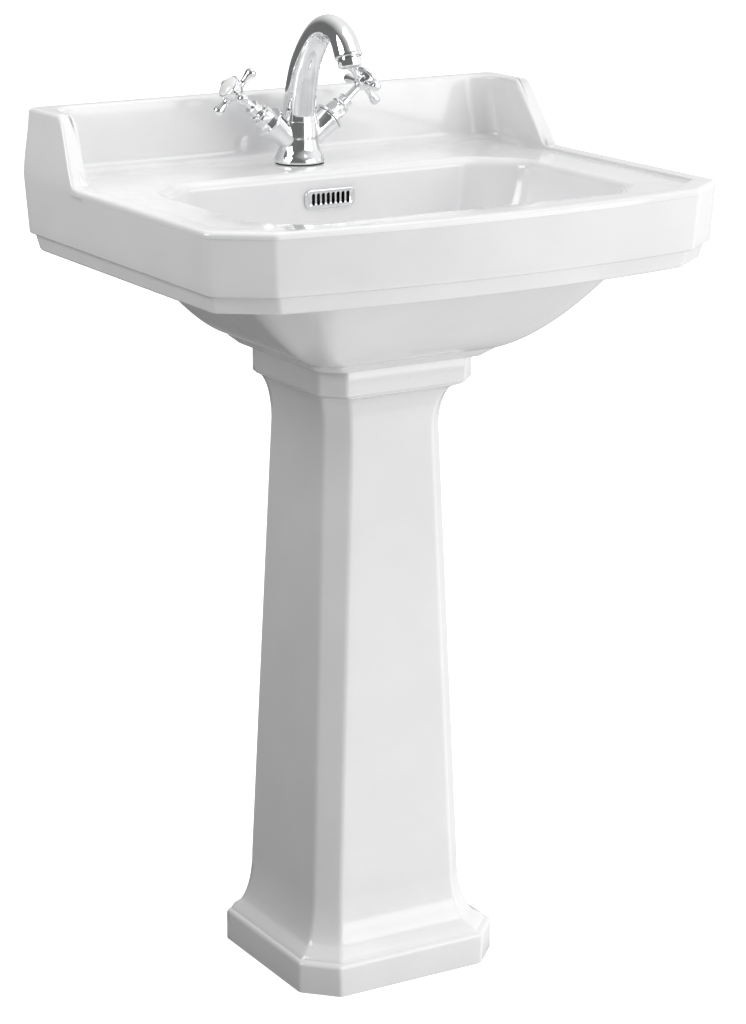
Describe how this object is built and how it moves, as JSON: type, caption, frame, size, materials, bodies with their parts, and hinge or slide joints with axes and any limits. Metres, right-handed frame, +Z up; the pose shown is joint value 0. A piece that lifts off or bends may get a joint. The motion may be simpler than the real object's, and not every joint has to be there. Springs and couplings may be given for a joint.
{
  "type": "pedestal sink",
  "caption": "Traditional pedestal washbasin with upstand, cut front corners, cross-head mixer tap, overflow grille, waste and bottle trap.",
  "frame": {"origin": "on the floor, below the middle of the whole part's plan box", "axes": "+Z up, -Y towards the user (the wall face is at y = +0.24225 m), +X to the user's right"},
  "size_m": [0.602, 0.4842, 1.0424],
  "materials": {
    "ceramic": "white gloss glaze",
    "chrome": "polished chrome plate",
    "brass": "machined brass",
    "copper": "drawn copper tube",
    "steel": "bright zinc-plated steel",
    "rubber": "black rubber",
    "plastic": "white plastic",
    "white_insert": "white porcelain index"
  },
  "bodies": {
    "sink": {"basin": "ceramic", "pedestal": "ceramic", "overflow_grille": "chrome", "overflow_sleeve": "rubber", "tap_gasket": "rubber", "tap_body": "chrome", "spout": "chrome", "aerator_housing": "chrome", "aerator_insert": "plastic", "supply_tail_nuts": "brass", "tap_stud": "steel", "tap_clamp_rubber": "rubber", "tap_clamp_plate": "steel", "tap_stud_nut": "brass", "waste_seal": "rubber", "waste_body": "chrome", "plug_latch": "brass", "waste_under_washer": "rubber", "waste_backnut": "brass", "trap_body": "plastic", "trap_cup": "plastic", "trap_cup_seal": "rubber", "trap_inlet_nut": "plastic", "trap_inlet_seal": "rubber", "trap_outlet_nut": "plastic", "trap_outlet_seal": "rubber", "waste_outlet_pipe": "plastic", "hot_valve_cartridge": "brass", "hot_valve_bonnet": "chrome", "hot_supply_tail": "copper", "cold_valve_cartridge": "brass", "cold_valve_bonnet": "chrome", "cold_supply_tail": "copper"},
    "hot_tap": {"hot_spindle": "chrome", "hot_handle": "chrome", "hot_handle_screw": "steel", "hot_index_cap": "white_insert"},
    "cold_tap": {"cold_spindle": "chrome", "cold_handle": "chrome", "cold_handle_screw": "steel", "cold_index_cap": "white_insert"},
    "plug": {"waste_plug": "chrome", "plug_stem": "chrome"}
  },
  "joints": [
    {"name": "hot_handle_turn", "type": "hinge", "parent": "sink", "child": "hot_tap", "pos_m": [-0.07967, 0.17225, 0.95785], "axis": [-0.766, 0, 0.6428], "range_deg": [0, 90]},
    {"name": "cold_handle_turn", "type": "hinge", "parent": "sink", "child": "cold_tap", "pos_m": [0.07967, 0.17225, 0.95785], "axis": [0.766, 0, 0.6428], "range_deg": [-90, 0]},
    {"name": "plug_press", "type": "slide", "parent": "sink", "child": "plug", "axis": [0, 0, 1], "range_m": [-0.008, 0]}
  ]
}
